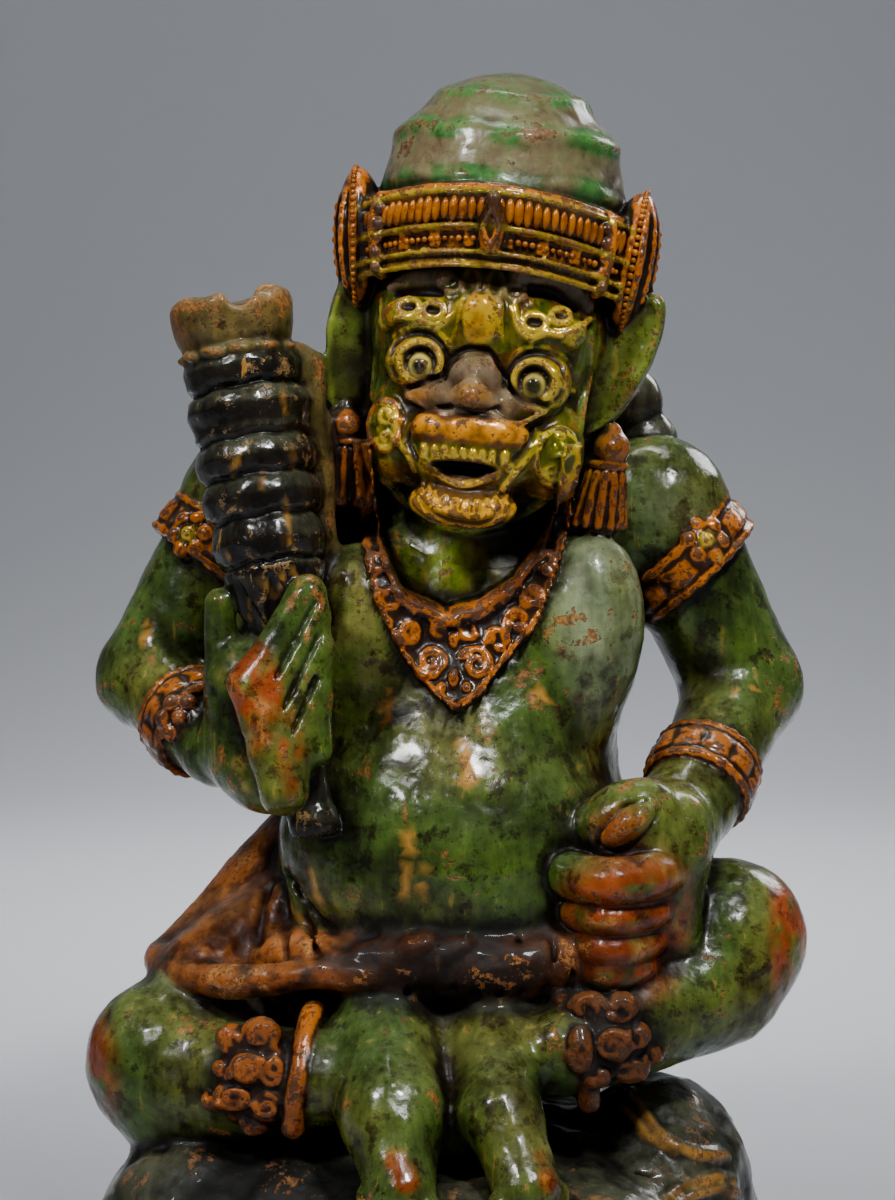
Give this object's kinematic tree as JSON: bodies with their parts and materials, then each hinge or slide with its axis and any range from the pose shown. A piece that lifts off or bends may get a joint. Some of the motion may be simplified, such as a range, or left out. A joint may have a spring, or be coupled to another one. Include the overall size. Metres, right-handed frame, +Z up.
{
  "type": "seated guardian figure",
  "caption": "Seated temple guardian with a ringed club at its shoulder and a fist on its thigh, carved with its rock seat from one block of painted and gilded wood.",
  "frame": {"origin": "on the underside of the rock, below the middle of the part's box", "axes": "+Z up to the crown, -Y the way the figure looks, +X to the figure's left, where its fist rests on the thigh"},
  "size_m": [0.2372, 0.1974, 0.3997],
  "materials": {
    "painted_wood": "worn oil paint and gold leaf under varnish, dark green with orange-brown, black and bare wood"
  },
  "bodies": {
    "root": {"guardian_figure": "painted_wood"}
  },
  "joints": []
}
